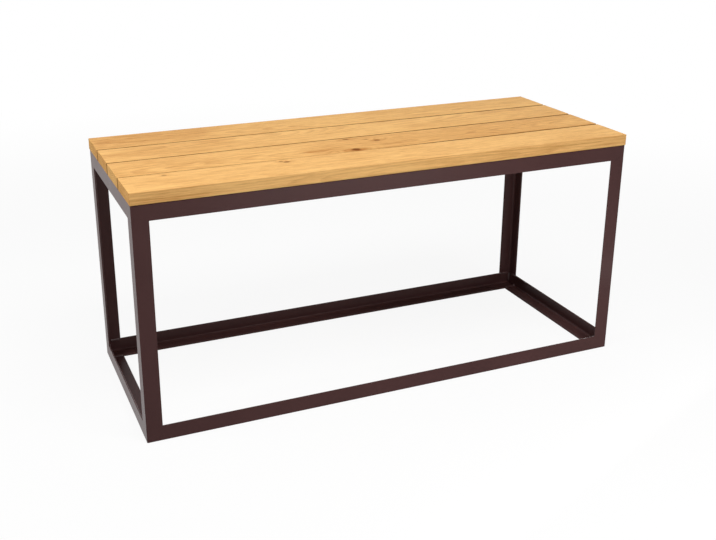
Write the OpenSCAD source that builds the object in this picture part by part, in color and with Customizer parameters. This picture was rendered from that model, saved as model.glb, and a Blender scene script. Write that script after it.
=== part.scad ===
// Outdoor bench: four planed boards screwed from below to a welded frame of steel angle.
// Millimetres. +X runs along the boards, +Y towards the back, +Z up.
// The origin is on the ground, under the middle of the seat.

/* [Boards] */
// Length of a seat board
board_length = 1000; // [700:10:1400]
// Width of a seat board
board_width = 95; // [80:1:145]
// Thickness of a seat board
board_thickness = 22; // [20:1:45]
// Gap between two boards
board_gap = 3; // [2:0.5:8]
// Radius of the boards' eased edges
board_edge_radius = 1.5; // [0.5:0.5:4]
// How far the boards stand past the frame on every side
board_overhang = 1; // [0:0.5:5]

/* [Frame] */
// Height of the frame's top face above the ground
frame_height = 450; // [350:5:600]
// Width of each flange of the steel angle
angle_width = 30; // [28:1:50]
// Thickness of the steel angle
angle_thickness = 3; // [3:0.5:5]
// Radius in the root between the angle's two flanges
angle_root_radius = 5; // [3:0.5:6]
// Radius on the inner edge of a flange's toe
angle_toe_radius = 2.5; // [1:0.5:2.5]

/* [Welds] */
// Width of a weld bead that lies on a flat face
bead_width = 6; // [5:0.5:7]
// Height of a weld bead that lies on a flat face
bead_height = 1.2; // [0.8:0.1:1.6]
// Radius of a weld bead that fills a square corner
corner_bead_radius = 3; // [2:0.5:4]

/* [Screws] */
// Diameter over a screw's thread
screw_diameter = 4; // [3.5:0.1:5]
// Length of a screw under its head
screw_length = 20; // [14:1:22]
// Length of a screw's pointed end
screw_point = 4; // [2:0.5:5]
// Diameter of a screw's pan head
screw_head_diameter = 8; // [7:0.5:9]
// Height of a screw's pan head
screw_head_height = 2.8; // [2.2:0.1:3.4]
// Height of the straight rim of a screw's head
screw_rim_height = 1; // [0.6:0.1:1.4]
// Width of one arm of the cross recess in a screw's head
recess_arm = 1.2; // [0.8:0.1:1.4]
// Span of the cross recess in a screw's head
recess_span = 4.6; // [3.5:0.1:5]
// Depth of the cross recess in a screw's head
recess_depth = 1.6; // [1:0.1:1.8]
// Distance of a screw from the heel of the angle that it goes through
screw_gauge = 16; // [14:0.5:18]
// Radial play of a screw in the steel
steel_clearance = 0.25; // [0.1:0.05:0.5]
// Radial play of a screw in the wood
wood_clearance = 0.05; // [0.02:0.01:0.1]

/* [Hidden] */
$fn = 64;
overcut = 1;

board_count = 4;
board_pitch = board_width + board_gap;
seat_depth = board_count * board_width + (board_count - 1) * board_gap;
frame_length = board_length - 2 * board_overhang;
frame_depth = seat_depth - 2 * board_overhang;

// The flat stretch on the inside of a flange, measured from the angle's heel
flat_start = angle_thickness + angle_root_radius;
flat_end = angle_width - angle_toe_radius;

// Radius of the round back of a bead that lies on a flat face
bead_back = (pow(bead_width / 2, 2) + pow(bead_height, 2)) / (2 * bead_height);

// The outer screw of an outer board goes through the long rail's corner, and every other pair has its spread
screw_spread = board_width / 2 - board_overhang - screw_gauge;
bar_screw_x = screw_gauge - angle_width / 2;
end_screw_x = frame_length / 2 - screw_gauge;
side_screw_x = board_length / 4;
side_screw_y = frame_depth / 2 - screw_gauge;

wood = "#dfae6c";
paint = "#4f3436";
zinc = "#b9bcc0";

// Middle of board number index across the seat, 0 at the front
function board_y(index) = (index - (board_count - 1) / 2) * board_pitch;

// Screws up through an end rail: a pair for each board, but for the two that fall in the long rails' corners
function end_screws(x) = [
    for (index = [0 : board_count - 1]) for (side = [-1, 1])
        let (y = board_y(index) + side * screw_spread)
            if (abs(y) < frame_depth / 2 - angle_width) [x, y]
];

// Four screws up through a long rail into the outer board above it, one of them in each corner
function side_screws(y) = [for (x = [-end_screw_x, -side_screw_x, side_screw_x, end_screw_x]) [x, y]];

// One screw up through the cross bar into the middle of each of the boards
function bar_screws() = [for (index = [0 : board_count - 1]) [bar_screw_x, board_y(index)]];

all_screws = concat(
    end_screws(-end_screw_x), end_screws(end_screw_x),
    side_screws(-side_screw_y), side_screws(side_screw_y), bar_screws()
);

// The screws that go into board number index
function board_screw_places(index) = [
    for (place = all_screws) if (abs(place.y - board_y(index)) < board_width / 2) place
];

// One flange of the angle, from the heel along X, with its thickness along Y
module flange_section() {
    difference() {
        square([angle_width, angle_thickness]);
        translate([angle_width - angle_toe_radius, angle_thickness - angle_toe_radius])
            difference() {
                square(angle_toe_radius + overcut);
                circle(angle_toe_radius);
            }
    }
}

// The whole section of the angle, with its heel at the origin and its flanges along X and Y
module angle_section() {
    flange_section();
    mirror([1, -1, 0]) flange_section();
    difference() {
        square(flat_start);
        translate([flat_start, flat_start]) circle(angle_root_radius);
    }
}

// A section carried along X, centred: the section's X becomes Y and its Y becomes Z
module along_x(length) {
    translate([-length / 2, 0, 0])
        rotate([90, 0, 90])
            linear_extrude(length) children();
}

module screw_holes(places) {
    for (place = places)
        translate([place.x, place.y, frame_height - angle_thickness - overcut])
            cylinder(r = screw_diameter / 2 + steel_clearance, h = angle_thickness + 2 * overcut);
}

// Places a shape made for the front left corner at any corner of the frame
module at_corner(left, front) {
    mirror([left ? 0 : 1, 0, 0])
        mirror([0, front ? 0 : 1, 0])
            translate([-frame_length / 2, -frame_depth / 2, 0])
                children();
}

// Turns a shape of the base ring over into the top ring
module as_top() {
    translate([0, 0, frame_height])
        mirror([0, 0, 1])
            children();
}

// A long rail runs the whole length of the frame, with square ends
module front_rail(length = frame_length) {
    translate([0, -frame_depth / 2, 0]) along_x(length) angle_section();
}

// A short rail between the long ones, with its heel at heel_x. Its flat flange ends at theirs.
// Its upright flange is coped to fit over them, and runs on to their upright flanges
module short_rail(heel_x) {
    difference() {
        translate([heel_x, 0, 0])
            rotate([0, 0, -90]) {
                along_x(frame_depth - 2 * angle_width) angle_section();
                along_x(frame_depth - 2 * angle_thickness) mirror([1, -1, 0]) flange_section();
            }
        for (side = [0, 1])
            mirror([0, side, 0]) front_rail(frame_length + 2 * overcut);
    }
}

module left_rail() {
    short_rail(-frame_length / 2);
}

module base_rail_front() {
    color(paint) front_rail();
}

module base_rail_back() {
    color(paint) mirror([0, 1, 0]) front_rail();
}

module base_rail_left() {
    color(paint) left_rail();
}

module base_rail_right() {
    color(paint) mirror([1, 0, 0]) left_rail();
}

module top_rail_front() {
    color(paint)
        difference() {
            as_top() front_rail();
            screw_holes(side_screws(-side_screw_y));
        }
}

module top_rail_back() {
    color(paint)
        difference() {
            as_top() mirror([0, 1, 0]) front_rail();
            screw_holes(side_screws(side_screw_y));
        }
}

module top_rail_left() {
    color(paint)
        difference() {
            as_top() left_rail();
            screw_holes(end_screws(-end_screw_x));
        }
}

module top_rail_right() {
    color(paint)
        difference() {
            as_top() mirror([1, 0, 0]) left_rail();
            screw_holes(end_screws(end_screw_x));
        }
}

// A leg stands on the edge of the base ring and carries the edge of the top ring
module leg(left, front) {
    color(paint)
        at_corner(left, front)
            translate([0, 0, angle_width])
                linear_extrude(frame_height - 2 * angle_width) angle_section();
}

module cross_bar() {
    color(paint)
        difference() {
            as_top() short_rail(-angle_width / 2);
            screw_holes(bar_screws());
        }
}

// A low round-backed bead from the origin along X, lying on the plane z = 0
module flat_bead(length) {
    intersection() {
        translate([0, 0, bead_height - bead_back])
            rotate([0, 90, 0])
                cylinder(r = bead_back, h = length);
        translate([0, -bead_width, 0])
            cube([length, 2 * bead_width, 2 * bead_height]);
    }
}

// A quarter-round bead up along Z, in the corner between the planes x = 0 and y = 0
module corner_bead(length) {
    intersection() {
        cylinder(r = corner_bead_radius, h = length);
        cube([2 * corner_bead_radius, 2 * corner_bead_radius, length]);
    }
}

// A bead round the root of a short rail, from its flat flange up to its upright one.
// The root's axis is the Y axis. Past the short rail's end the bead fills the square corner behind it
module root_bead() {
    intersection() {
        rotate([90, 0, 0])
            rotate_extrude()
                translate([angle_root_radius - bead_height + bead_back, 0])
                    circle(bead_back);
        union() {
            translate([-angle_root_radius, -bead_width / 2, -angle_root_radius])
                cube([angle_root_radius, (bead_width + angle_toe_radius) / 2, angle_root_radius]);
            intersection() {
                translate([-angle_root_radius, 0, -angle_root_radius])
                    cube([angle_root_radius, bead_width / 2, angle_root_radius]);
                rotate([-90, 0, 0])
                    cylinder(r = angle_root_radius, h = bead_width);
            }
        }
    }
}

// The bead across the butt joint between the flat flanges of a short rail and a long one
module rail_bead() {
    joint = angle_width - angle_toe_radius / 2;
    translate([flat_start, joint, angle_thickness])
        flat_bead(flat_end - flat_start);
    translate([flat_start, joint, flat_start])
        root_bead();
}

// The bead up the inside corner between the upright flanges of a short rail and a long one
module upright_bead() {
    translate([angle_thickness, angle_thickness, flat_start])
        corner_bead(flat_end - flat_start);
}

// The bead across the butt joint between one flange of a leg and the ring's edge
module leg_bead() {
    translate([flat_start, angle_thickness, angle_width - angle_toe_radius / 2])
        rotate([-90, 0, 0])
            flat_bead(flat_end - flat_start);
}

// The four beads inside one corner of the base ring: the short rail's two, and the leg's two
module corner_welds() {
    rail_bead();
    upright_bead();
    leg_bead();
    mirror([1, -1, 0]) leg_bead();
}

module ring_welds() {
    for (left = [true, false])
        for (front = [true, false])
            at_corner(left, front) corner_welds();
}

// The three beads at the front end of the cross bar, with the bar the other way up
module cross_bar_welds() {
    translate([-angle_width / 2, -frame_depth / 2, 0]) {
        rail_bead();
        upright_bead();
        translate([angle_thickness, 0, 0])
            mirror([1, 0, 0])
                upright_bead();
    }
}

module base_welds() {
    color(paint) ring_welds();
}

module top_welds() {
    color(paint)
        as_top() {
            ring_welds();
            cross_bar_welds();
            mirror([0, 1, 0]) cross_bar_welds();
        }
}

// A pan-head screw that points up, with the underside of its head at the origin
module screw() {
    dome_height = screw_head_height - screw_rim_height;
    dome_radius = (pow(screw_head_diameter / 2, 2) + pow(dome_height, 2)) / (2 * dome_height);
    difference() {
        union() {
            cylinder(d = screw_diameter, h = screw_length - screw_point);
            translate([0, 0, screw_length - screw_point])
                cylinder(d1 = screw_diameter, d2 = 0, h = screw_point);
            translate([0, 0, -screw_rim_height])
                cylinder(d = screw_head_diameter, h = screw_rim_height);
            intersection() {
                translate([0, 0, dome_radius - screw_head_height])
                    sphere(dome_radius);
                translate([0, 0, -screw_head_height])
                    cylinder(d = 2 * screw_head_diameter, h = dome_height);
            }
        }
        for (turn = [0, 90])
            rotate([0, 0, turn])
                translate([0, 0, -screw_head_height])
                    cube([recess_span, recess_arm, 2 * recess_depth], center = true);
    }
}

module board_screws() {
    color(zinc)
        for (place = all_screws)
            translate([place.x, place.y, frame_height - angle_thickness])
                screw();
}

// A rectangle with its corners rounded by true arcs
module rounded_rectangle(length, width, radius) {
    square([length - 2 * radius, width], center = true);
    square([length, width - 2 * radius], center = true);
    for (x = [-1, 1])
        for (y = [-1, 1])
            translate([x * (length / 2 - radius), y * (width / 2 - radius)])
                circle(radius);
}

// A board lies on the frame with all its edges eased, and has a blind hole for each of its screws
module board(index) {
    sink = screw_length - angle_thickness;
    color(wood)
        difference() {
            translate([0, board_y(index), frame_height + board_thickness / 2])
                intersection() {
                    rotate([90, 0, 90])
                        linear_extrude(board_length, center = true)
                            rounded_rectangle(board_width, board_thickness, board_edge_radius);
                    rotate([90, 0, 0])
                        linear_extrude(board_width + 2 * overcut, center = true)
                            rounded_rectangle(board_length, board_thickness, board_edge_radius);
                }
            for (place = board_screw_places(index))
                translate([place.x, place.y, frame_height - overcut])
                    cylinder(r = screw_diameter / 2 + wood_clearance, h = sink + 2 * overcut);
        }
}

module board_front() {
    board(0);
}

module board_front_middle() {
    board(1);
}

module board_back_middle() {
    board(2);
}

module board_back() {
    board(3);
}

board_front();
board_front_middle();
board_back_middle();
board_back();
top_rail_front();
top_rail_back();
top_rail_left();
top_rail_right();
base_rail_front();
base_rail_back();
base_rail_left();
base_rail_right();
leg(left = true, front = true);  // leg_front_left
leg(left = false, front = true);  // leg_front_right
leg(left = true, front = false);  // leg_back_left
leg(left = false, front = false);  // leg_back_right
cross_bar();
board_screws();
top_welds();
base_welds();
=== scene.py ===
"""The looks of a garden bench: four oiled boards on a powder-coated frame of welded steel angle.

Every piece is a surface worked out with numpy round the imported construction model, in metres.
"""

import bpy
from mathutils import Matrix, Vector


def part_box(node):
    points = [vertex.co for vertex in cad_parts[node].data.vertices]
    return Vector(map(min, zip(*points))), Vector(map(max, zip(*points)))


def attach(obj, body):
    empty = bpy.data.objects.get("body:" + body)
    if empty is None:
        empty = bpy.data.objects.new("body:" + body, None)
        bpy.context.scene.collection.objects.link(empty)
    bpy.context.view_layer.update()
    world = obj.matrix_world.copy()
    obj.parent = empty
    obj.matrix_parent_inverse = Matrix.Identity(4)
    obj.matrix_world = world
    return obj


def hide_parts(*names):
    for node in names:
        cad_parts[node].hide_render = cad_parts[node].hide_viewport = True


bl_info = {
    "name": "Garden Bench",
    "version": (1, 0, 0),
    "blender": (4, 5, 0),
    "location": "3D View > Sidebar > Bench",
    "description": "Builds a slatted garden bench round its construction model, with a stage for it",
    "category": "Add Mesh",
}

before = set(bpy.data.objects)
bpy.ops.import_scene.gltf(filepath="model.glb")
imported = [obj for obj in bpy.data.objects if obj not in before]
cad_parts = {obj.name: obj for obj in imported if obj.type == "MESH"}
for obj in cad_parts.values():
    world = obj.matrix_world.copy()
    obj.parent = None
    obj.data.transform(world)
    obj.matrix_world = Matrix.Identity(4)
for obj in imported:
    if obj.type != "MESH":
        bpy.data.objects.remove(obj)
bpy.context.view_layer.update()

import math
from functools import partialmethod
from typing import NamedTuple

import bmesh
import bpy
import numpy as np
from bpy.props import FloatProperty, FloatVectorProperty, PointerProperty
from mathutils import Euler, Vector

BODY = "root"
MM = 0.001
X, Y, Z = np.identity(3)


def linear(red, green, blue):
    """A colour given as 0 to 255 screen values, as the linear values that shaders take."""
    screen = np.array([red, green, blue]) / 255
    return tuple(np.where(screen <= 0.04045, screen / 12.92, ((screen + 0.055) / 1.055) ** 2.4))


# Sizes read from the construction model

RAIL_LOW, RAIL_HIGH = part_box("base_rail_front")
TOP_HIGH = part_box("top_rail_back")[1]
HALF_LENGTH = RAIL_HIGH.x
HALF_DEPTH = TOP_HIGH.y
FRAME_HEIGHT = TOP_HIGH.z
ANGLE_WIDTH = RAIL_HIGH.z - RAIL_LOW.z
BAR_HEEL_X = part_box("cross_bar")[0].x
CORNERS = [(left, front) for left in (-1, 1) for front in (-1, 1)]


# Settings


def length_prop(name, description, default, low, high):
    """A setting for a length, given in millimetres."""
    return FloatProperty(
        name=name, description=description, default=default * MM, min=low * MM, max=high * MM,
        precision=5, unit="LENGTH",
    )


def share_prop(name, description, default):
    """A setting from 0 to 1."""
    return FloatProperty(
        name=name, description=description, default=default, min=0, max=1, subtype="FACTOR",
    )


def colour_prop(name, description, default):
    """A setting for a colour, in linear values."""
    return FloatVectorProperty(
        name=name, description=description, default=default, size=3, min=0, max=1, subtype="COLOR",
    )


class BenchBoards(bpy.types.PropertyGroup):
    """The seat boards' shape and colour."""

    edge_radius: length_prop("Eased Edge", "Radius of the boards' eased edges", 0.7, 0.3, 5)
    cupping: length_prop("Cupping", "Fall of a board's top to its long edges", 0.18, 0, 2)
    ring_spacing: length_prop("Ring Spacing", "Distance between two growth rings", 3.2, 1, 8)
    pale_wood: colour_prop("Pale Wood", "Colour of the wood at its brightest", linear(252, 201, 129))
    deep_wood: colour_prop("Deep Wood", "Colour of the darkest fibres and rings", linear(170, 92, 0))
    knot_wood: colour_prop("Knot", "Colour of a knot's heart", linear(112, 58, 0))
    roughness: share_prop("Roughness", "How dull the oiled wood is", 0.5)
    gloss: share_prop("Gloss", "How strongly the oiled wood mirrors, 0.5 for plain varnish", 0.015)
    # The next two settings are painted shade, not dirt: a dark colour on the walls of the gaps between the
    # boards, and how strongly it shows.
    gap_shade: colour_prop("Dirt", "Colour of the dirt on the walls of the gaps", linear(100, 50, 0))
    gap_shade_strength: share_prop("Dirt in Gaps", "How dark the walls of the gaps are", 0.85)


class BenchFrame(bpy.types.PropertyGroup):
    """The steel frame's section, welds and coating."""

    thickness: length_prop("Thickness", "Thickness of the steel angle", 3, 2, 6)
    heel_radius: length_prop("Heel Radius", "Radius of the coated outer corners", 1.1, 0.2, 2)
    root_radius: length_prop("Root Radius", "Radius in the root between the flanges", 5, 2, 8)
    toe_radius: length_prop("Toe Radius", "Radius on the inner edge of a flange's toe", 2.5, 1, 2.6)
    bead_width: length_prop("Bead Width", "Width of a weld bead", 5.8, 3, 8)
    bead_height: length_prop("Bead Height", "Height of a weld bead above the steel", 1.2, 0.5, 2)
    ripple_pitch: length_prop("Ripple Pitch", "Distance between two ripples of a bead", 1.6, 0.8, 3)
    coating: colour_prop("Coating", "Colour of the powder coat", linear(81, 54, 53))
    roughness: share_prop("Roughness", "How dull the powder coat is", 0.3)
    gloss: share_prop("Gloss", "How strongly the powder coat mirrors, 0.5 for plain varnish", 0.08)
    bead_gloss: share_prop("Bead Gloss", "How strongly the coat on the beads mirrors", 0.5)


class BenchScrews(bpy.types.PropertyGroup):
    """The pan-head screws under the seat."""

    gauge: length_prop("Gauge", "Distance of a screw from the heel of its angle", 16, 10, 24)
    thread_diameter: length_prop("Thread Diameter", "Diameter over the screw's thread", 4, 3, 6)
    thread_pitch: length_prop("Thread Pitch", "Distance between two turns of the thread", 1.8, 1, 3)
    recess_arm: length_prop("Recess Arm", "Width of one arm of the cross recess", 1.2, 0.6, 2)
    zinc: colour_prop("Zinc", "Colour of the zinc plating", linear(196, 199, 204))


class BenchStage(bpy.types.PropertyGroup):
    """The floor, the lamps and the camera."""

    floor_radius: length_prop("Floor Radius", "Radius of the floor", 14000, 3000, 60000)
    floor_colour: colour_prop("Floor", "Colour of the floor", (0.3, 0.3, 0.3))
    shade: share_prop("Shade", "How strongly the bench's shadow shows on the white floor", 0.09)
    sky: share_prop("Sky", "Strength of the even light from all round", 0.03)
    focal_length: FloatProperty(
        name="Focal Length", description="Focal length of the camera",
        default=50, min=20, max=200, unit="CAMERA",
    )


# Surfaces


def arc(centre, radius, start, end, steps):
    """Points on a circle, centre + radius * (cos a, sin a), for a from start to end in degrees."""
    angle = np.radians(np.linspace(start, end, steps + 1))
    return np.column_stack([centre[0] + radius * np.cos(angle), centre[1] + radius * np.sin(angle)])


def ramp(value, low, high):
    """0 below low, 1 above high, and t * t * (3 - 2 t) between them, with t the share of the way."""
    share = np.clip((value - low) / (high - low), 0, 1)
    return share * share * (3 - 2 * share)


def circle(count):
    """Angles all the way round, in radians and as a row."""
    return np.linspace(0, 2 * np.pi, count, endpoint=False)[None]


def grid_shell(rings):
    """The points and faces of a closed shell from an array of rings, with a flat cap at both ends.

    rings[i, j] is point j of ring i. Quads join (i, j), (i, j + 1), (i + 1, j + 1) and (i + 1, j), and
    each ring closes on itself. All faces are turned over if the volume inside comes out negative.
    """
    count, around = rings.shape[:2]
    i, j = np.meshgrid(np.arange(count - 1) * around, np.arange(around), indexing="ij")
    k = (j + 1) % around
    quads = np.stack([i + j, i + k, i + around + k, i + around + j], axis=-1).reshape(-1, 4)
    points = rings.reshape(-1, 3)
    a, b, c, d = (points[quads[:, n]] for n in range(4))
    middle = rings.mean(axis=(0, 1))
    volume = np.einsum("ij,ij->i", (a + b + c + d) / 4 - middle, np.cross(c - a, d - b)).sum()
    caps = [np.arange(around)[::-1], np.arange(around) + (count - 1) * around]
    faces = [*quads.tolist(), *(cap.tolist() for cap in caps)]
    return points, faces if volume > 0 else [face[::-1] for face in faces]


def round_shell(radius, height, angle):
    """The closed shell of the points (r cos a, r sin a, z)."""
    x, y = radius * np.cos(angle), radius * np.sin(angle)
    return grid_shell(np.stack([x, y, height + 0 * angle], axis=-1))


def placed(shell, axes, move=(0, 0, 0)):
    """A shell with its x, y and z along the directions in axes, and then moved.

    Where the directions make a mirror image, every face is turned over.
    """
    points, faces = shell
    axes = np.array(axes, dtype=float)
    mirrored = np.linalg.det(axes) < 0
    return points @ axes + np.array(move), [face[::-1] for face in faces] if mirrored else faces


def all_placed(shells, axes, move=(0, 0, 0)):
    """Every shell in the list, placed in the same way."""
    return [placed(shell, axes, move) for shell in shells]


def close_poles(mesh, reach=0.0001 * MM):
    """Makes one point of those that coincide, as where arcs meet in a corner, and drops empty faces."""
    skin = bmesh.new()
    skin.from_mesh(mesh)
    bmesh.ops.remove_doubles(skin, verts=skin.verts, dist=reach)
    skin.to_mesh(mesh)
    skin.free()


def new_object(name, data):
    """A new object in the scene, at the origin."""
    made = bpy.data.objects.new(name, data)
    bpy.context.scene.collection.objects.link(made)
    return made


def make_piece(name, shells, material, node, sharp_angle=35):
    """One object of closed shells, that stands for the node of the construction model."""
    points, faces, offset = [], [], 0
    for shell_points, shell_faces in shells:
        points.append(shell_points)
        faces += [[corner + offset for corner in face] for face in shell_faces]
        offset += len(shell_points)
    mesh = bpy.data.meshes.new(name)
    mesh.from_pydata(np.concatenate(points).tolist(), [], faces)
    close_poles(mesh)
    mesh.shade_smooth()
    mesh.set_sharp_from_angle(angle=math.radians(sharp_angle))
    mesh.materials.append(material)
    piece = new_object(name, mesh)
    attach(piece, BODY)
    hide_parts(node)


# Boards


class Knot(NamedTuple):
    """A knot: its place on the top from the board's middle, its radius, lean per metre and darkness."""
    x: float
    y: float
    radius: float
    lean_x: float
    lean_y: float
    darkness: float


class Patch(NamedTuple):
    """A soft cloud on a board: its middle, half length and half width, and the shade that it adds."""
    x: float
    y: float
    length: float
    width: float
    shade: float


class Edge(NamedTuple):
    """How far a board's long edge stands out at its left end, at its right end, and in a bulge."""
    left: float = 0
    right: float = 0
    bulge: float = 0


class Board(NamedTuple):
    """One seat board: how its edges run, how it was cut from its log, and what shows on it.

    The pith is the log's heart line, at pith (y, z) beside the board's middle, and runs off by slope per
    metre and by wander. A shade is how far the wood goes from its pale colour to its deep one.
    """
    node: str
    front_edge: Edge
    back_edge: Edge
    pith: tuple
    slope: tuple
    wander: float
    shade: float
    end_shade: float
    seed: float
    knots: tuple
    patches: tuple


OUTER = Edge()
EVEN = Edge(left=-0.55 * MM, right=-0.95 * MM)
BULGED = Edge(left=0.2 * MM, right=-0.9 * MM, bulge=0.8 * MM)

BOARDS = (
    Board(
        node="board_front", front_edge=OUTER, back_edge=BULGED,
        pith=(-0.064, -0.003), slope=(0.004, 0.010), wander=0.030,
        shade=0.12, end_shade=0.13, seed=3.1,
        knots=(
            Knot(-0.196, 0.030, 0.0046, 0.5, 0.6, 0.80),
            Knot(-0.205, 0.037, 0.0036, -0.5, 0.4, 0.60),
            Knot(-0.422, 0.033, 0.0036, 0.3, 0.4, 0.45),
        ),
        # Painted shade: these two thin patches lie along the front board's front face and darken that
        # face, which the low front lamps light strongly.
        patches=(Patch(-0.48, -0.048, 0.14, 0.010, 0.10), Patch(0.32, -0.048, 0.30, 0.009, 0.11)),
    ),
    Board(
        node="board_front_middle", front_edge=BULGED, back_edge=EVEN,
        pith=(-0.020, -0.060), slope=(0.012, 0.024), wander=0.046,
        shade=0.16, end_shade=-0.13, seed=11.7,
        knots=(
            Knot(-0.045, -0.039, 0.0072, -0.3, 0.3, 1.0),
            Knot(-0.034, 0.038, 0.0048, 0.4, -0.4, 0.62),
            Knot(0.020, 0.008, 0.0050, 0.2, 0.3, 0.62),
            Knot(0.003, 0.022, 0.0026, 0.2, -0.3, 0.45),
        ),
        patches=(
            Patch(-0.105, -0.013, 0.075, 0.026, 0.26),
            Patch(-0.010, -0.030, 0.060, 0.030, 0.12),
            # Partly the wood's own tone and partly painted shade: the patch at the left end darkens the
            # top where the left lamps light it strongly.
            Patch(-0.42, 0.0, 0.12, 0.10, 0.06),
            Patch(0.28, 0.0, 0.36, 0.12, 0.13),
        ),
    ),
    Board(
        node="board_back_middle", front_edge=EVEN, back_edge=EVEN,
        pith=(0.028, -0.064), slope=(0.014, -0.020), wander=0.040,
        shade=0.12, end_shade=0.15, seed=23.9,
        knots=(),
        # Partly the wood's own tone and partly painted shade: the patch at the left end darkens the top
        # where the left lamps light it strongly.
        patches=(Patch(-0.38, 0.0, 0.14, 0.10, 0.08), Patch(0.45, 0.0, 0.17, 0.10, 0.05)),
    ),
    Board(
        node="board_back", front_edge=EVEN, back_edge=OUTER,
        pith=(-0.010, -0.050), slope=(-0.012, 0.018), wander=0.044,
        shade=0.14, end_shade=-0.13, seed=37.3,
        knots=(),
        # Partly the wood's own tone and partly painted shade: this patch at the left end darkens the top
        # where the left lamps light it strongly.
        patches=(Patch(-0.44, 0.0, 0.20, 0.12, 0.17),),
    ),
)
TURN_START, TURN_END = -0.05, 0.2
BULGE_X, BULGE_REACH = -0.11, 0.13

EASE_STEPS = 5
ALONG_SPACING, ACROSS_SPACING = 2.5 * MM, 3 * MM
SIDE_SUPPORT, END_SUPPORT = 0.3 * MM, 0.4 * MM
DISH_DEPTH, DISH_REACH, DISH_STRETCH = 0.16 * MM, 1.5, 2


def stand_out(edge, x):
    """How far the edge stands out: from left to right by a ramp, + bulge * exp(-((x - m) / s) ** 2)."""
    bulge = edge.bulge * np.exp(-((x - BULGE_X) / BULGE_REACH) ** 2)
    return edge.left + (edge.right - edge.left) * ramp(x, TURN_START, TURN_END) + bulge


def rectangle_ring(width, height, radius):
    """A ring round a rectangle with rounded corners: core points, and the way out from each of them.

    The corners are arcs. The sides between them are cut evenly, and also close to both their ends, so
    that the shading of the arcs stays off the flats.
    """
    core, direction = [], []
    half = np.array([width / 2 - radius, height / 2 - radius])
    for quarter, (across, up) in enumerate([(1, 1), (-1, 1), (-1, -1), (1, -1)]):
        outwards = arc((0, 0), 1, 90 * quarter, 90 * quarter + 90, EASE_STEPS)
        core.append(np.tile(half * (across, up), (EASE_STEPS + 1, 1)))
        direction.append(outwards)
        side = 2 * half[quarter % 2]
        flat = np.linspace(SIDE_SUPPORT, side - SIDE_SUPPORT, max(2, round(side / ACROSS_SPACING)))
        along = np.array([-outwards[-1, 1], outwards[-1, 0]])
        core.append(half * (across, up) + flat[:, None] * along)
        direction.append(np.tile(outwards[-1], (len(flat), 1)))
    return np.concatenate(core), np.concatenate(direction)


def board_shell(board, look):
    """A planed board: core + radius * direction carried along X, and closed in at both ends.

    At an end, ring t has x = core end + radius * sin t and the section core + radius * cos t * direction,
    for t from 0 to 90 degrees. Each long edge moves out by stand_out(x), and the rest in proportion. The
    top falls by cupping * (y / half width) ** 2, and by a dish exp(-(d / s) ** 2) at each knot.
    """
    low, high = (np.array(corner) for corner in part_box(board.node))
    size, middle = high - low, (high + low) / 2
    radius = look.edge_radius
    core, direction = rectangle_ring(size[1], size[2], radius)
    reach = size[0] / 2 - radius
    straight = np.linspace(-reach, reach, round(2 * reach / ALONG_SPACING) + 1)
    turn = np.radians(np.linspace(0, 90, EASE_STEPS + 1))[1:]
    x = np.concatenate([-reach - radius * np.sin(turn[::-1]), straight, reach + radius * np.sin(turn)])
    scale = np.concatenate([np.cos(turn[::-1]), np.ones(len(straight)), np.cos(turn)])
    x, scale = np.pad(x, 1, mode="edge"), np.pad(scale, 1)
    inset = np.zeros(len(x))
    inset[[0, -1]] = END_SUPPORT
    section = core[None] + radius * scale[:, None, None] * direction[None]
    section = section - inset[:, None, None] * np.sign(core)[None]
    y, z = section[..., 0], section[..., 1]
    x = x[:, None] + 0 * y
    across = y / (size[1] / 2)
    front_out, back_out = stand_out(board.front_edge, x), stand_out(board.back_edge, x)
    y_bowed = y + (back_out * (1 + across) - front_out * (1 - across)) / 2
    fall = look.cupping * across ** 2
    for knot in board.knots:
        distance = np.hypot((x - knot.x) / DISH_STRETCH, y - knot.y)
        fall = fall + DISH_DEPTH * knot.darkness * np.exp(-(distance / (DISH_REACH * knot.radius)) ** 2)
    z_worn = z - fall * ramp(z, 0, size[2] / 2 - radius)
    return grid_shell(np.stack([x + middle[0], y_bowed + middle[1], z_worn + middle[2]], axis=-1))


# Steel angle

TOE_EDGE, KEEP_FLAT = 0.25 * MM, 0.3 * MM
HEEL_ROUNDING, EDGE_ROUNDING = 0.97, 0.8
ROUNDING_RINGS, ROUNDING_GAP = 7, 0.05 * MM
MIDDLE_RINGS, MIDDLE_MARGIN = 41, 4 * MM
LEG_LAP = 0.35 * MM

# A tongue's rings, by shares of its length: one laps into the rail, and five follow the other rail's toe
TONGUE_SHARES = (-0.0004, 0.004, 0.015, 0.035, 0.06, 0.092, 0.25, 0.5, 0.75, 1.0)
TONGUE_TOP_FLAT = 5 * MM


class Section(NamedTuple):
    """A closed outline of the steel, the way inwards at each point, and how far each may round off.

    The first coordinate is the depth below one outer face, and the second that below the other.
    """
    points: np.ndarray
    inward: np.ndarray
    reach: np.ndarray


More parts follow.
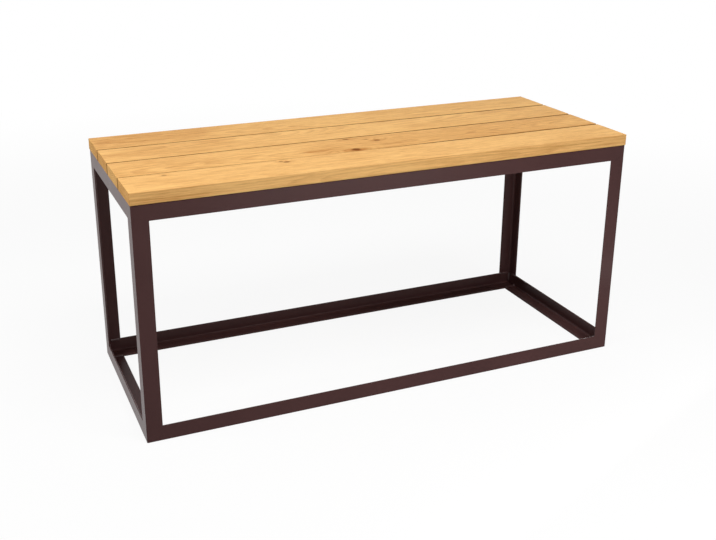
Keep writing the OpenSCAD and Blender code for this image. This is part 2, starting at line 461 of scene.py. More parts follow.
def angle_section(steel):
    """The angle's section: two flanges, with arcs at the heel, at each toe's edges, and in the root.

    One half runs from the heel's middle to the root's middle, and the other is its mirror image. A
    point just past both ends of each arc keeps the flats flat where the steel is shaded smooth.
    """
    width, thick = ANGLE_WIDTH, steel.thickness
    heel, root, toe = steel.heel_radius, steel.root_radius, steel.toe_radius
    inner = thick + root
    edge_middle = (width - TOE_EDGE, TOE_EDGE)
    heel_arc = arc((heel, heel), heel, 225, 270, 4)
    outer_flat = np.array([(heel + KEEP_FLAT, 0), (width - TOE_EDGE - KEEP_FLAT, 0)])
    edge_arc = arc(edge_middle, TOE_EDGE, 270, 360, 3)
    rest = np.concatenate([
        arc((width - toe, thick - toe), toe, 0, 90, 8),
        [(width - toe - KEEP_FLAT, thick), (inner + KEEP_FLAT, thick)],
        arc((inner, inner), root, 270, 225, 6),
    ])
    points = np.concatenate([heel_arc, outer_flat, edge_arc, rest])
    inward = np.concatenate([
        (np.array([heel, heel]) - heel_arc) / heel,
        [(0, 1), (0, 1)],
        (np.array(edge_middle) - edge_arc) / TOE_EDGE,
        np.zeros_like(rest),
    ])
    counts = [len(heel_arc) + len(outer_flat), len(edge_arc), len(rest)]
    reach = np.repeat([HEEL_ROUNDING * heel, EDGE_ROUNDING * TOE_EDGE, 0], counts)
    back = slice(-2, 0, -1)
    return Section(
        np.concatenate([points, points[back, ::-1]]),
        np.concatenate([inward, inward[back, ::-1]]),
        np.concatenate([reach, reach[back]]),
    )


def angle_bar(section, half_length, rounded):
    """A length of the angle along X, with the section's first coordinate as y and its second as z.

    Where rounded, the last rings have x = half - reach (1 - sin t), and each point goes inwards by
    reach (1 - cos t), t from 0 to 90 degrees: the end's outer edges are round, and its inner ones square.
    """
    turn = np.radians(np.linspace(0, 90, ROUNDING_RINGS))[:, None]
    reach = section.reach[None] * rounded
    gaps = ROUNDING_GAP * np.arange(ROUNDING_RINGS)[::-1, None]
    end_x = half_length - reach * (1 - np.sin(turn)) - gaps
    end = section.points[None] + section.inward[None] * (reach * (1 - np.cos(turn)))[..., None]
    middle_x = np.linspace(-1, 1, MIDDLE_RINGS)[:, None] * (half_length - MIDDLE_MARGIN) + 0 * reach
    middle = np.repeat(section.points[None], MIDDLE_RINGS, axis=0)
    x = np.concatenate([-end_x[::-1], middle_x, end_x])
    section_points = np.concatenate([end[::-1], middle, end])
    return grid_shell(np.concatenate([x[..., None], section_points], axis=-1))


def coped_tongue(steel, start, end):
    """The upright flange that runs on past a short rail's end, over the long rail's flat flange.

    From start, its lower edge lies on the arc of that rail's toe, z = t - r + sqrt(r * r - (r - u) ** 2)
    with u the way past start, and then on its flat. Its far end follows that rail's root,
    x = end - (R - sqrt(R * R - (inner - z) ** 2)), and is straight above z = inner.
    """
    thick, root, toe, width = steel.thickness, steel.root_radius, steel.toe_radius, ANGLE_WIDTH
    inner = thick + root
    root_heights = inner - root * np.cos(np.radians(np.linspace(0, 90, 9)))
    up = np.concatenate([root_heights, [width - TONGUE_TOP_FLAT]])
    outer_side = np.column_stack([np.zeros(len(up)), up])
    toe_face = np.concatenate([
        [(0, width - TOE_EDGE - KEEP_FLAT)],
        arc((TOE_EDGE, width - TOE_EDGE), TOE_EDGE, 180, 90, 3),
        arc((thick - toe, width - toe), toe, 90, 0, 8),
        [(thick, width - toe - KEEP_FLAT)],
    ])
    ring = np.concatenate([outer_side, toe_face, outer_side[::-1] + (thick, 0)])
    depth, height = ring[:, 0][None], ring[:, 1][None]
    cope = root - np.sqrt(root ** 2 - np.clip(inner - height, 0, root) ** 2)
    x = start + np.array(TONGUE_SHARES)[:, None] * (end - cope - start)
    on_toe = thick - toe + np.sqrt(toe ** 2 - np.clip(toe - (x - start), 0, toe) ** 2)
    z = np.where(height < thick + 0.001 * MM, on_toe, height)
    return grid_shell(np.stack([x, depth + 0 * x, z], axis=-1))


def short_rail(steel):
    """A short rail with its heel on the X axis: a length of angle with a coped tongue at each end."""
    start, end = HALF_DEPTH - ANGLE_WIDTH, HALF_DEPTH - steel.thickness
    tongue = coped_tongue(steel, start, end)
    return [
        angle_bar(angle_section(steel), start, rounded=False),
        tongue,
        placed(tongue, [-X, Y, Z]),
    ]


def ring_level(base):
    """Which way up the base ring or the top ring is, and the height of its flat face."""
    return (1, 0) if base else (-1, FRAME_HEIGHT)


def ring_rails(steel, base):
    """The four rails of the base ring, or of the top ring, which is the base ring upside down.

    A long rail's x, y and z run along X, inwards, and into the height. A short rail's x runs along Y.
    """
    rise, level = ring_level(base)
    up = rise * Z
    long = [angle_bar(angle_section(steel), HALF_LENGTH, rounded=True)]
    short = short_rail(steel)
    return {
        "front": all_placed(long, [X, Y, up], (0, -HALF_DEPTH, level)),
        "back": all_placed(long, [X, -Y, up], (0, HALF_DEPTH, level)),
        "left": all_placed(short, [Y, X, up], (-HALF_LENGTH, 0, level)),
        "right": all_placed(short, [Y, -X, up], (HALF_LENGTH, 0, level)),
    }


def leg_shell(steel, left, front):
    """A leg: the angle stood upright in a corner, with its heel there and both its flanges inwards."""
    half = FRAME_HEIGHT / 2 - ANGLE_WIDTH + LEG_LAP
    bar = angle_bar(angle_section(steel), half, rounded=False)
    axes = [Z, -left * X, -front * Y]
    return placed(bar, axes, (left * HALF_LENGTH, front * HALF_DEPTH, FRAME_HEIGHT / 2))


# Weld beads


class Bead(NamedTuple):
    """A weld bead's width, its height above its path, its depth below it, and its ripples' pitch."""
    width: float
    height: float
    depth: float | np.ndarray
    pitch: float


def bead_shell(path, normal, bead):
    """A weld bead along a path of points, bulging along the unit normals, with crescent ripples.

    At way s along the path and angle a round the bead, the point is path + side * width / 2 * e * cos a,
    and goes along the normal by height * e * sin a above the path and -depth * e * sqrt(-sin a) below.
    e = sqrt(1 - u * u) rounds off both tips, with u from 1 at a tip to 0 half a width away. Height and
    width follow a ripple, 1/2 + 1/2 cos of the phase (s + crescent * width * cos a ** 2) / pitch, and the
    height slow swells too.
    """
    around, crescent, last_u, least_depth = 22, 0.45, 0.995, 0.3
    swell, swell_way, wobble, wobble_way = 0.07, 5.3 * MM, 0.05, 2.1 * MM
    step = np.linalg.norm(np.diff(path, axis=0), axis=1)
    way = np.concatenate([[0], np.cumsum(step)])
    tangent = np.gradient(path, way, axis=0)
    tangent = tangent / np.linalg.norm(tangent, axis=1)[:, None]
    side = np.cross(normal, tangent)
    angle = circle(around)
    to_tip = np.minimum(way, way[-1] - way)[:, None]
    way = way[:, None]
    u = np.clip(1 - to_tip / (bead.width / 2), 0, last_u)
    e = np.sqrt(1 - u * u)
    phase = 2 * np.pi * (way + crescent * bead.width * np.cos(angle) ** 2) / bead.pitch
    ripple = 0.5 + 0.5 * np.cos(phase + 0.5 * np.sin(phase))
    uneven = 1 + swell * np.sin(way / swell_way + 1) + wobble * np.sin(way / wobble_way)
    up = np.sin(angle)
    above = bead.height * e * (0.86 + 0.2 * ripple) * uneven * np.maximum(up, 0)
    depth = np.broadcast_to(bead.depth, len(path))[:, None]
    below = depth * np.sqrt(np.maximum(-up, 0)) * np.maximum(e, least_depth)
    across = bead.width / 2 * e * (0.97 + 0.05 * ripple) * np.cos(angle)
    out = (above - below)[..., None]
    return grid_shell(path[:, None] + side[:, None] * across[..., None] + normal[:, None] * out)


def line(start, end, spacing=0.3 * MM):
    """Points from start to end, at about the given spacing."""
    start, end = np.array(start, dtype=float), np.array(end, dtype=float)
    count = max(4, round(np.linalg.norm(end - start) / spacing))
    return start + np.linspace(0, 1, count + 1)[:, None] * (end - start)


def constant(path, direction):
    """One unit direction for every point of a path."""
    direction = np.array(direction, dtype=float)
    return np.tile(direction / np.linalg.norm(direction), (len(path), 1))


def rail_bead(steel):
    """The bead across a short rail's flat flange and up its root, in the frame of a corner.

    There x is the depth below the short rail's outer face, y below the long rail's, and z the height.
    The path runs along -X, and then round the root's quarter circle, centre - R (sin t, cos t). The bead
    also fills the square corner behind the root, (sqrt 2 - 1) R deep.
    """
    depth, sway, sway_way, last_turn = 0.6 * MM, 0.35 * MM, 3.1 * MM, 88
    thick, radius = steel.thickness, steel.root_radius
    inner = thick + radius
    joint = ANGLE_WIDTH - steel.toe_radius / 2
    flat = line((joint, joint, thick), (inner, joint, thick))
    turn = np.radians(np.linspace(0, last_turn, 30))[1:, None]
    root = np.hstack([inner - radius * np.sin(turn), joint + 0 * turn, inner - radius * np.cos(turn)])
    path = np.concatenate([flat, root])
    path[:, 1] += sway * np.sin(path[:, 0] / sway_way)
    root_normal = np.hstack([np.sin(turn), 0 * turn, np.cos(turn)])
    normal = np.concatenate([constant(flat, Z), root_normal])
    fill = (math.sqrt(2) - 1) * radius * np.sin(2 * turn[:, 0])
    depth = depth + np.concatenate([np.zeros(len(flat)), fill])
    return bead_shell(path, normal, Bead(steel.bead_width, steel.bead_height, depth, steel.ripple_pitch))


def upright_bead(steel):
    """The bead up the inside corner between a short rail's upright flange and a long rail's."""
    bead = Bead(width=4.1 * MM, height=0.9 * MM, depth=1.9 * MM, pitch=steel.ripple_pitch)
    offset, start, stop = 1.45 * MM, 4.2 * MM, 1.6 * MM
    near = steel.thickness + offset
    path = line((near, near, steel.thickness + start), (near, near, ANGLE_WIDTH - stop))
    return bead_shell(path, constant(path, X + Y), bead)


def leg_beads(steel):
    """The beads across the butt joint between one flange of a leg and the ring's edge.

    The long bead lies on the inner face, and a short fat one closes the joint at the flange's toe.
    """
    thick = steel.thickness
    level = ANGLE_WIDTH - steel.toe_radius / 2
    bead = Bead(steel.bead_width, steel.bead_height, depth=1.0 * MM, pitch=steel.ripple_pitch)
    start, stop, sway, sway_way = 4.5 * MM, 2 * MM, 0.3 * MM, 2.7 * MM
    path = line((thick + start, thick, level), (ANGLE_WIDTH - stop, thick, level))
    path[:, 2] += sway * np.sin(path[:, 0] / sway_way)
    fat = Bead(width=4.4 * MM, height=1.8 * MM, depth=1.2 * MM, pitch=2 * MM)
    toe, run, sink, last_sink = ANGLE_WIDTH - 0.4 * MM, 3.4 * MM, 0.3 * MM, 1.5 * MM
    end = line((toe - run, thick - sink, level), (toe, thick - last_sink, level), spacing=0.2 * MM)
    return [
        bead_shell(path, constant(path, Y), bead),
        bead_shell(end, constant(end, (0.35, 1, 0.1)), fat),
    ]


def ring_beads(steel, base):
    """The beads of a ring: those of one corner, and their mirror images in the other three."""
    rise, level = ring_level(base)
    leg = leg_beads(steel)
    other_flange = all_placed(leg, [Y, X, Z])
    beads = [rail_bead(steel), upright_bead(steel), *leg, *other_flange]
    shells = []
    for left, front in CORNERS:
        axes = [-left * X, -front * Y, rise * Z]
        shells += all_placed(beads, axes, (left * HALF_LENGTH, front * HALF_DEPTH, level))
    return shells


def cross_bar_beads(steel):
    """The beads at both ends of the cross bar: under its flat flange, and beside its upright one."""
    upright = upright_bead(steel)
    outside = placed(upright, [-X, Y, Z], steel.thickness * X)
    beads = [rail_bead(steel), upright, outside]
    shells = []
    for front in (-1, 1):
        place = (BAR_HEEL_X, front * HALF_DEPTH, FRAME_HEIGHT)
        shells += all_placed(beads, [X, -front * Y, -Z], place)
    return shells


# Screws

SCREW_LENGTH, SCREW_POINT = 20 * MM, 4 * MM
HEAD_RADIUS, HEAD_HEIGHT, RIM_HEIGHT = 4 * MM, 2.8 * MM, 1 * MM
HEAD_TURN = 2.4


def head_shell(screws, turn):
    """A pan head under z = 0, by radius r and angle a: a domed face, a rounded rim, a flat underside.

    The dome is z = c - sqrt(R * R - r * r). The cross recess takes its depth times a cross off it: the
    larger of two bars, each arm(across) * span(along) of soft steps, with x and y turned by turn.
    """
    radius, fillet, drop = HEAD_RADIUS, 0.35 * MM, 0.12 * MM
    arm, span, soft, sink, taper = screws.recess_arm / 2, 2.3 * MM, 0.12 * MM, 1.6 * MM, 0.35
    dome = HEAD_HEIGHT - RIM_HEIGHT
    ball = (radius ** 2 + dome ** 2) / (2 * dome)
    dome_r = np.array([0.02, *np.linspace(0.15, 2.7, 18), 3.1, 3.4, 3.6]) * MM
    dome_z = ball - HEAD_HEIGHT - np.sqrt(ball ** 2 - dome_r ** 2)
    edge = np.radians(np.linspace(35, 90, 5))
    edge_r = radius - fillet + fillet * np.sin(edge)
    edge_z = fillet * (1 - np.cos(edge)) - RIM_HEIGHT - drop
    tail_r = [radius, radius, radius - 0.15 * MM, 1.9 * MM]
    tail_z = [-0.5 * MM, -0.15 * MM, 0, 0]
    angle = circle(64)
    r = np.concatenate([dome_r, edge_r, tail_r])[:, None]
    z = np.concatenate([dome_z, edge_z, tail_z])[:, None]
    x, y = abs(r * np.cos(angle - turn)), abs(r * np.sin(angle - turn))

    def bar(along, across):
        return (1 - ramp(across, arm - soft, arm + soft)) * (1 - ramp(along, span - 4 * soft, span + soft))

    sunk = sink * (1 - taper * np.clip(r / span, 0, 1) ** 2) * np.maximum(bar(x, y), bar(y, x))
    return round_shell(r, z + sunk * (r < 3 * MM), angle)


def thread_shell(screws):
    """The threaded shank from z = 0 upwards: r = core + ridge of the turns z / pitch - a / 360 degrees.

    The ridge is a narrow soft wave once a turn, and core and ridge shrink over the point's length.
    """
    core_share, sharpness, start, full, tip = 0.68, 4, 1.5 * MM, 3.5 * MM, 0.02
    outer = screws.thread_diameter / 2
    core = core_share * outer
    angle = circle(20)
    z = np.linspace(0, SCREW_LENGTH, 68)[:, None]
    turns = z / screws.thread_pitch - angle / (2 * np.pi)
    ridge = (0.5 + 0.5 * np.cos(2 * np.pi * turns)) ** sharpness
    point = np.clip((SCREW_LENGTH - z) / SCREW_POINT, tip, 1)
    r = (core + (outer - core) * ridge * ramp(z, start, full)) * point
    return round_shell(r, z, angle)


def screw_places(screws):
    """Each board's two screws at each end and one at the cross bar, and two along each outer board."""
    gauge = screws.gauge
    boxes = [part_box(board.node) for board in BOARDS]
    middles = [(low.y + high.y) / 2 for low, high in boxes]
    spread = HALF_DEPTH + middles[0] - gauge
    end_x, side_x, side_y = HALF_LENGTH - gauge, boxes[0][1].x / 2, HALF_DEPTH - gauge
    ends = [(x, y + side * spread) for x in (-end_x, end_x) for y in middles for side in (-1, 1)]
    sides = [(x, y) for x in (-side_x, side_x) for y in (-side_y, side_y)]
    return ends + sides + [(BAR_HEEL_X + gauge, y) for y in middles]


# Materials


class Wire:
    """A shader value, which can stand in a Python formula as a number does."""

    def __init__(self, recipe, socket):
        self.recipe = recipe
        self.socket = socket

    def maths(self, operation, *others):
        """A Math node of this value and then the others."""
        return self.recipe.node("Math", {"operation": operation}, dict(enumerate([self, *others])))

    def output(self, name):
        """Another output of the same node."""
        return Wire(self.recipe, self.socket.node.outputs[name])

    def __rsub__(self, other):
        return self.recipe.node("Math", {"operation": "SUBTRACT"}, {0: other, 1: self})

    __add__ = __radd__ = partialmethod(maths, "ADD")
    __sub__ = partialmethod(maths, "SUBTRACT")
    __mul__ = __rmul__ = partialmethod(maths, "MULTIPLY")
    __truediv__ = partialmethod(maths, "DIVIDE")
    __pow__ = partialmethod(maths, "POWER")
    __abs__ = partialmethod(maths, "ABSOLUTE")
    larger = partialmethod(maths, "MAXIMUM")


class Recipe:
    """The nodes of one material or of the world."""

    def __init__(self, owner):
        owner.use_nodes = True
        self.owner = owner
        self.tree = owner.node_tree
        self.tree.nodes.clear()

    def node(self, kind, settings=None, inputs=None, output=0):
        """A new node with its settings, and its inputs set or linked. Gives one of its outputs."""
        node = self.tree.nodes.new("ShaderNode" + kind)
        for name, value in (settings or {}).items():
            setattr(node, name, value)
        for key, value in (inputs or {}).items():
            if isinstance(value, Wire):
                self.tree.links.new(value.socket, node.inputs[key])
            else:
                node.inputs[key].default_value = value
        return Wire(self, node.outputs[output]) if node.outputs else node

    def place(self):
        """The point on the object, in metres."""
        return self.node("TexCoord", output="Object")

    def vector(self, operation, first, second):
        """A Vector Math node."""
        return self.node("VectorMath", {"operation": operation}, {0: first, 1: second})

    def shaded(self, colour, factor):
        """A colour times a value."""
        return self.node("VectorMath", {"operation": "SCALE"}, {0: colour, "Scale": factor})

    def noise(self, place, fineness, shift=(0, 0, 0), detail=2.0, roughness=0.5):
        """Smooth noise, about -0.5 to 0.5. The fineness is its features to the metre, also by axis."""
        stretched = self.vector("ADD", self.vector("MULTIPLY", place, np.ones(3) * fineness), shift)
        inputs = {"Vector": stretched, "Scale": 1.0, "Detail": detail, "Roughness": roughness}
        return self.node("TexNoise", {"noise_dimensions": "3D"}, inputs) - 0.5

    def step(self, value, low, high):
        """0 at low and 1 at high with a soft start and end, also where high is the smaller of the two."""
        inputs = {"Value": value, "From Min": low, "From Max": high}
        return self.node("MapRange", {"interpolation_type": "SMOOTHSTEP"}, inputs)

    def mix(self, factor, first, second):
        """The first colour where the factor is 0, and the second where it is 1."""
        return self.node("Mix", {"data_type": "RGBA"}, {0: factor, 6: first, 7: second}, output=2)

    def surface(self, shader):
        """The finished material."""
        self.node("OutputMaterial", inputs={"Surface": shader})
        return self.owner

    def solid(self, colour, roughness, height, settings):
        """The finished material of a surface that is raised by a height in metres."""
        normal = self.node("Bump", inputs={"Strength": 1.0, "Distance": 1.0, "Height": height})
        inputs = {"Base Color": colour, "Roughness": roughness, "Normal": normal, **settings}
        return self.surface(self.node("BsdfPrincipled", inputs=inputs))


def opaque(colour):
    """A colour with full alpha."""
    return (*colour, 1.0)


# The wood's noises: features to the metre along and across the board, shift, detail, roughness.
# Through the board they are THROUGH times as fine as across it.
GRAIN = {
    "pith y": (2.6, 0, 1.3, 1, 0.5),
    "pith z": (2.1, 0, 7.9, 1, 0.5),
    "ring bend": (6, 40, 2.2, 2, 0.5),
    "ring wave": (22, 110, 5.2, 2, 0.5),
    "ring strength": (1.5, 24, 9.3, 1, 0.5),
    "knot outline": (240, 240, 4.4, 2, 0.5),
    "fibre": (42, 760, 3.3, 3, 0.6),
    "streak": (11, 200, 6.1, 3, 0.55),
    "cloud": (6, 20, 8.8, 2, 0.5),
    "dash": (70, 1400, 12.4, 1, 0.5),
}
THROUGH = 3.2
BEND_SIZE, WAVE_SIZE = 3.0 * MM, 1.4 * MM
LATE_SHADE, FIBRE_SHADE, STREAK_SHADE, CLOUD_SHADE, DASH_SHADE = 0.20, 1.30, 0.80, 0.42, 0.14
END_LATE_SHADE, END_PALER = 0.22, 0.06
FIBRE_RELIEF, STREAK_RELIEF, DASH_RELIEF = 0.04 * MM, 0.06 * MM, 0.06 * MM
LATE_RELIEF, KNOT_RELIEF = 0.03 * MM, 0.10 * MM

KNOT_RING = 1.1 * MM
KNOT_SQUASH, SWIRL_SQUASH, SWIRL_REACH, SWIRL_PUSH = 0.6, 0.14, 2.3, 1.9
HEART_START, HEART_FULL, HALO_START, HALO_FULL, HALO_SHADE = 1.35, 0.6, 2.0, 0.8, 0.35
# Painted shade on the gap walls: how far from a wall it starts and is full, and how far below the top.
WALL_START, WALL_FULL = 2 * MM, 1 * MM
GAP_SHADE_START, GAP_SHADE_FULL = 0.15 * MM, 0.9 * MM
END_START, END_FULL = 1.0 * MM, 0.3 * MM


def wood(board, look):
    """Oiled softwood, solid through the board: rings round the pith, fibres, pores, knots and clouds.

    r = distance to the pith line, bent by slow noise and pushed out at each knot by exp(-(d / s) ** 2).
    A ring line is a soft saw wave of r / spacing, which darkens slowly and ends sharply. All marks add up
    to one shade from the pale colour to the deep one, and painted shade darkens the walls of the gaps.
    """
    recipe = Recipe(bpy.data.materials.new("wood_" + board.node))
    low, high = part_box(board.node)
    middle, half = (low + high) / 2, (high - low) / 2
    local = recipe.vector("SUBTRACT", recipe.place(), tuple(middle))
    x = recipe.node("SeparateXYZ", inputs={0: local}, output="X")
    y, z = x.output("Y"), x.output("Z")

    def noise(name):
        along, across, shift, detail, roughness = GRAIN[name]
        fineness = (along, across, THROUGH * across)
        return recipe.noise(local, fineness, (shift, board.seed, 0.7 * board.seed), detail, roughness)

    pith_y = y - board.pith[0] - board.slope[0] * x - board.wander * noise("pith y")
    pith_z = z - board.pith[1] - board.slope[1] * x - board.wander * noise("pith z")
    radius = (pith_y * pith_y + pith_z * pith_z) ** 0.5
    radius = radius + BEND_SIZE * noise("ring bend") + WAVE_SIZE * noise("ring wave")

    heart, halo, knot_rings = 0.0, 0.0, 0.0
    for knot in board.knots:
        off_x = x - knot.x - knot.lean_x * (z - half.z)
        off_y = y - knot.y - knot.lean_y * (z - half.z)
        distance = (off_x * off_x * KNOT_SQUASH + off_y * off_y) ** 0.5
        stretched = (off_x * off_x * SWIRL_SQUASH + off_y * off_y) ** 0.5
        swirl = (stretched / (SWIRL_REACH * knot.radius)) ** 2 * -1
        radius = radius + SWIRL_PUSH * knot.radius * swirl.maths("EXPONENT")
        outline = distance + 0.7 * knot.radius * noise("knot outline")
        inside = recipe.step(outline, HEART_START * knot.radius, HEART_FULL * knot.radius) * knot.darkness
        around = recipe.step(stretched, HALO_START * knot.radius, HALO_FULL * knot.radius)
        phase = distance * (2 * math.pi / KNOT_RING)
        heart = inside.larger(heart)
        halo = (around * (HALO_SHADE * knot.darkness)).larger(halo)
        knot_rings = phase.maths("SINE") * inside + knot_rings

    turns = radius / look.ring_spacing
    saw = turns.maths("FRACT")
    late = recipe.step(saw, 0.30, 0.90) * recipe.step(saw, 1.0, 0.93)
    late = late * (0.85 + 1.6 * noise("ring strength"))
    fibre, streak, cloud = noise("fibre"), noise("streak"), noise("cloud")
    dash = recipe.step(noise("dash"), 0.14, 0.28)

    shade = board.shade + LATE_SHADE * late - FIBRE_SHADE * fibre - STREAK_SHADE * streak
    shade = shade - CLOUD_SHADE * cloud + DASH_SHADE * dash + halo
    for patch in board.patches:
        reach = ((x - patch.x) / patch.length) ** 2 + ((y - patch.y) / patch.width) ** 2
        shade = shade + patch.shade * recipe.step(reach + 1.5 * cloud, 1.3, 0.1)
    end_grain = recipe.step(abs(x), half.x - END_START, half.x - END_FULL)
    shade = shade + end_grain * (board.end_shade + END_LATE_SHADE * late - END_PALER)
    colour = recipe.mix(shade.larger(0.0), opaque(look.pale_wood), opaque(look.deep_wood))
    colour = recipe.mix(heart * (0.9 + 0.1 * knot_rings), colour, opaque(look.knot_wood))

    # Painted shade: the walls of the gaps between boards get a dark colour, fuller deeper down where shade
    # falls, and are made duller.
    wall = 0.0
    if board.front_edge != OUTER:
        wall = recipe.step(y, WALL_START - half.y, WALL_FULL - half.y) + wall
    if board.back_edge != OUTER:
        wall = recipe.step(y, half.y - WALL_START, half.y - WALL_FULL) + wall
    gap_shade = wall * recipe.step(z, half.z - GAP_SHADE_START, half.z - GAP_SHADE_FULL)
    colour = recipe.mix(look.gap_shade_strength * gap_shade, colour, opaque(look.gap_shade))

    height = FIBRE_RELIEF * fibre - LATE_RELIEF * late - KNOT_RELIEF * heart
    height = height - DASH_RELIEF * dash + STREAK_RELIEF * streak
    roughness = look.roughness + 0.12 * fibre - 0.05 * late + 0.28 * end_grain + 0.35 * gap_shade
    return recipe.solid(colour, roughness, height, {"Specular IOR Level": look.gloss})


PEEL_RELIEF, SPECK_RELIEF, WAVE_RELIEF, GRIT_RELIEF = 0.014 * MM, 0.0015 * MM, 0.07 * MM, 0.004 * MM
WARM_ZINC = (0.95, 0.90, 0.78)


def powder_coat(name, steel, gloss):
    """A satin powder coat, made once: faint clouds, an orange-peel skin, and slow waves under it."""
    if name in bpy.data.materials:
        return bpy.data.materials[name]
    recipe = Recipe(bpy.data.materials.new(name))
    place = recipe.place()
    peel = recipe.noise(place, 620)
    speck = recipe.noise(place, 2300, (5, 2, 8), detail=1.0)
    cloud = recipe.noise(place, 9, (1, 7, 3), detail=3.0)
    wave = recipe.noise(place, 26, (3, 1, 6), detail=1.0)
    colour = recipe.shaded(tuple(steel.coating), 1 + 0.30 * cloud + 0.10 * peel + 0.10 * speck)
    roughness = steel.roughness + 0.14 * cloud + 0.07 * peel
    height = PEEL_RELIEF * peel + SPECK_RELIEF * speck + WAVE_RELIEF * wave
    return recipe.solid(colour, roughness, height, {"Specular IOR Level": gloss})


def zinc_plate(screws):
    """Bright zinc plating: bare metal with a fine satin grain and warm clouds."""
    recipe = Recipe(bpy.data.materials.new("zinc_plate"))
    place = recipe.place()
    cloud = recipe.noise(place, 420, detail=3.0)
    grit = recipe.noise(place, 5200, (4, 4, 1), detail=1.0)
    warm = opaque(np.array(screws.zinc) * WARM_ZINC)
    colour = recipe.mix(recipe.step(cloud, -0.1, 0.25), opaque(screws.zinc), warm)
    colour = recipe.shaded(colour, 1 + 0.25 * grit)
    roughness = 0.34 + 0.25 * cloud + 0.1 * grit
    return recipe.solid(colour, roughness, GRIT_RELIEF * grit, {"Metallic": 1.0})


# Stage

CAMERA_PLACE = (-0.78524, -1.75733, 0.97048)
CAMERA_TURN = (70.4997, 0.0309, -22.7359)
CAMERA_SHIFT = (0.03009, -0.06573)
LAMP_TARGET = (0, 0, 0.3)
WHITE = (1, 1, 1, 1)
SHADOW_EDGE, SHADOW_FULL = 2.6, 1.0
FLOOR_THICKNESS, FLOOR_DROP = 20 * MM, 0.2 * MM

# The softboxes: place, width and height, and strength in watts
LAMPS = {
    "overhead_softbox": ((0.35, 0, 2.4), (2.4, 1.8), 7),
    "front_softbox": ((0.05, -1.35, 2.6), (1.8, 1), 51),
    "left_softbox": ((-2.4, -0.2, 1.65), (1.2, 0.7), 29),
    "end_softbox": ((-0.95, -0.1, 0.8), (0.5, 0.3), 0.3),
    "ground_softbox": ((0.3, -1.2, 0.2), (0.7, 0.25), 2.7),
    "floor_strip": ((0.25, -0.6, 0.07), (1.2, 0.06), 0.5),
    "back_softbox": ((1.9, 1.9, 0.33), (1.2, 0.4), 14),
}


def visible_white(recipe):
    """1 for the rays that see the background: the camera's, reflections and what is seen through."""
    camera = recipe.node("LightPath", output="Is Camera Ray")
    return camera.larger(camera.output("Is Glossy Ray")).larger(camera.output("Is Transmission Ray"))


def floor_material(stage):
    """A pale floor that lights the bench by its own colour, and is seen as white with a soft shadow."""
    recipe = Recipe(bpy.data.materials.new("studio_floor"))
    place = recipe.place()
    grain = recipe.noise(place, 40, detail=3.0)
    distance = recipe.node("VectorMath", {"operation": "LENGTH"}, {0: place}, output="Value")
    near = recipe.step(distance, SHADOW_EDGE, SHADOW_FULL)
    colour = recipe.shaded(tuple(stage.floor_colour), 1 + 0.03 * grain)
    own = recipe.node("BsdfDiffuse", inputs={"Color": colour})
    shadowed = recipe.node("BsdfDiffuse", inputs={"Color": (0.9, 0.9, 0.9, 1)})
    white = recipe.node("Emission", inputs={"Color": WHITE, "Strength": 1.0})
    seen = recipe.node("MixShader", inputs={0: near * stage.shade, 1: white, 2: shadowed})
    return recipe.surface(recipe.node("MixShader", inputs={0: visible_white(recipe), 1: own, 2: seen}))


def sky_world(stage):
    """Even light from all round, which is seen as plain white."""
    recipe = Recipe(bpy.data.worlds.new("studio"))
    light = recipe.node("Background", inputs={"Color": WHITE, "Strength": stage.sky})
    seen = recipe.node("Background", inputs={"Color": WHITE, "Strength": 1.0})
    both = recipe.node("MixShader", inputs={0: visible_white(recipe), 1: light, 2: seen})
    recipe.node("OutputWorld", inputs={"Surface": both})
    return recipe.owner


def floor_shell(stage):
    """A thin round floor just under z = 0, with rings that get wider outwards."""
    radius = np.concatenate([[0.01], np.geomspace(0.3, 1, 12) * stage.floor_radius])
    level = np.zeros(len(radius)) - FLOOR_DROP
    radius = np.concatenate([radius, radius[[-1, 0]]])[:, None]
    level = np.concatenate([level, level[:2] - FLOOR_THICKNESS])[:, None]
    return round_shell(radius, level, circle(64))


def make_lamp(name, place, size, power):
    """A rectangular softbox, turned towards the bench."""
    light = bpy.data.lights.new(name, "AREA")
    light.shape = "RECTANGLE"
    light.size, light.size_y = size
    light.energy = power
    holder = new_object(name, light)
    holder.location = place
    direction = Vector(LAMP_TARGET) - Vector(place)
    holder.rotation_euler = direction.to_track_quat("-Z", "Y").to_euler()


# Operators


class BENCH_OT_boards(bpy.types.Operator):
    """Lay the four seat boards"""

    bl_idname = "bench.boards"
    bl_label = "Seat Boards"

    def execute(self, context):
        look = context.scene.bench_boards
        for board in BOARDS:
            shells = [board_shell(board, look)]
            make_piece("planed_" + board.node, shells, wood(board, look), board.node)
        return {"FINISHED"}


def coated_piece(context, node, shells):
    """One length of the frame's steel."""
    steel = context.scene.bench_frame
    material = powder_coat("powder_coat", steel, steel.gloss)
    make_piece("coated_" + node, shells, material, node)


class BENCH_OT_top_ring(bpy.types.Operator):
    """Build the four rails of the top ring"""

    bl_idname = "bench.top_ring"
    bl_label = "Top Ring"

    def execute(self, context):
        for side, shells in ring_rails(context.scene.bench_frame, base=False).items():
            coated_piece(context, "top_rail_" + side, shells)
        return {"FINISHED"}


class BENCH_OT_base_ring(bpy.types.Operator):
    """Build the four rails of the base ring"""

    bl_idname = "bench.base_ring"
    bl_label = "Base Ring"

    def execute(self, context):
        for side, shells in ring_rails(context.scene.bench_frame, base=True).items():
            coated_piece(context, "base_rail_" + side, shells)
        return {"FINISHED"}


class BENCH_OT_legs(bpy.types.Operator):
    """Stand the four legs in the corners"""

    bl_idname = "bench.legs"
    bl_label = "Legs"

    def execute(self, context):
        words = {-1: ("left", "front"), 1: ("right", "back")}
        for left, front in CORNERS:
            node = "leg_" + words[front][1] + "_" + words[left][0]
            coated_piece(context, node, [leg_shell(context.scene.bench_frame, left, front)])
        return {"FINISHED"}


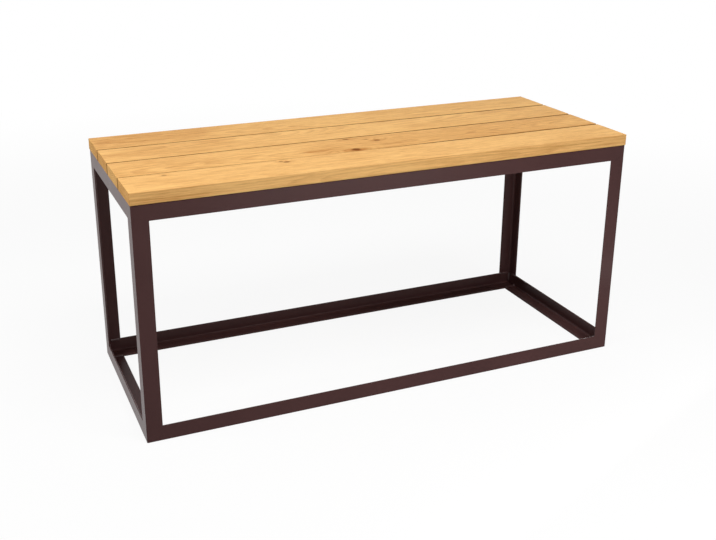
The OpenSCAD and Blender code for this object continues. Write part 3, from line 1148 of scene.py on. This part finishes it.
class BENCH_OT_cross_bar(bpy.types.Operator):
    """Put the cross bar under the boards' middles"""

    bl_idname = "bench.cross_bar"
    bl_label = "Cross Bar"

    def execute(self, context):
        rail = short_rail(context.scene.bench_frame)
        shells = all_placed(rail, [Y, X, -Z], (BAR_HEEL_X, 0, FRAME_HEIGHT))
        coated_piece(context, "cross_bar", shells)
        return {"FINISHED"}


class BENCH_OT_welds(bpy.types.Operator):
    """Lay the weld beads of both rings and of the cross bar"""

    bl_idname = "bench.welds"
    bl_label = "Weld Beads"

    def execute(self, context):
        steel = context.scene.bench_frame
        material = powder_coat("bead_coat", steel, steel.bead_gloss)
        base_beads = ring_beads(steel, base=True)
        top_beads = ring_beads(steel, base=False) + cross_bar_beads(steel)
        make_piece("coated_base_welds", base_beads, material, "base_welds")
        make_piece("coated_top_welds", top_beads, material, "top_welds")
        return {"FINISHED"}


class BENCH_OT_screws(bpy.types.Operator):
    """Drive the screws up into the boards"""

    bl_idname = "bench.screws"
    bl_label = "Screws"

    def execute(self, context):
        screws = context.scene.bench_screws
        level = FRAME_HEIGHT - context.scene.bench_frame.thickness
        thread = thread_shell(screws)
        shells = []
        for number, (x, y) in enumerate(screw_places(screws)):
            head = head_shell(screws, turn=HEAD_TURN * number)
            shells += all_placed([head, thread], [X, Y, Z], (x, y, level))
        material = zinc_plate(screws)
        make_piece("zinc_board_screws", shells, material, "board_screws", sharp_angle=50)
        return {"FINISHED"}


class BENCH_OT_stage(bpy.types.Operator):
    """Set up the floor, the lamps, the world and the camera"""

    bl_idname = "bench.stage"
    bl_label = "Stage"

    def execute(self, context):
        stage = context.scene.bench_stage
        points, faces = floor_shell(stage)
        mesh = bpy.data.meshes.new("studio_floor")
        mesh.from_pydata(points.tolist(), [], faces)
        mesh.materials.append(floor_material(stage))
        floor = new_object("studio_floor", mesh)
        for name, lamp in LAMPS.items():
            make_lamp(name, *lamp)
        context.scene.world = sky_world(stage)
        camera = new_object("camera", bpy.data.cameras.new("camera"))
        camera.location = CAMERA_PLACE
        camera.rotation_euler = Euler([math.radians(angle) for angle in CAMERA_TURN])
        camera.data.lens = stage.focal_length
        camera.data.sensor_fit = "HORIZONTAL"
        camera.data.shift_x, camera.data.shift_y = CAMERA_SHIFT
        context.scene.camera = camera
        context.scene.view_settings.view_transform = "Standard"
        return {"FINISHED"}


class BENCH_PT_build(bpy.types.Panel):
    """Lists the bench's steps and settings"""

    bl_idname = "BENCH_PT_build"
    bl_label = "Garden Bench"
    bl_space_type = "VIEW_3D"
    bl_region_type = "UI"
    bl_category = "Bench"

    def draw(self, context):
        for step in STEPS:
            self.layout.operator(step.bl_idname)
        for group in SETTINGS:
            box = self.layout.box()
            for name in SETTINGS[group].__annotations__:
                box.prop(getattr(context.scene, group), name)


SETTINGS = {
    "bench_boards": BenchBoards,
    "bench_frame": BenchFrame,
    "bench_screws": BenchScrews,
    "bench_stage": BenchStage,
}
STEPS = (
    BENCH_OT_boards, BENCH_OT_top_ring, BENCH_OT_base_ring, BENCH_OT_legs,
    BENCH_OT_cross_bar, BENCH_OT_welds, BENCH_OT_screws, BENCH_OT_stage,
)
CLASSES = (*SETTINGS.values(), *STEPS, BENCH_PT_build)


def register():
    for each in CLASSES:
        bpy.utils.register_class(each)
    for name, group in SETTINGS.items():
        setattr(bpy.types.Scene, name, PointerProperty(type=group))


def unregister():
    for name in SETTINGS:
        delattr(bpy.types.Scene, name)
    for each in reversed(CLASSES):
        bpy.utils.unregister_class(each)


def main():
    """Builds the bench and its stage."""
    register()
    bpy.ops.bench.boards()
    bpy.ops.bench.top_ring()
    bpy.ops.bench.base_ring()
    bpy.ops.bench.legs()
    bpy.ops.bench.cross_bar()
    bpy.ops.bench.welds()
    bpy.ops.bench.screws()
    bpy.ops.bench.stage()
    bpy.context.view_layer.update()


if __name__ == "__main__":
    main()
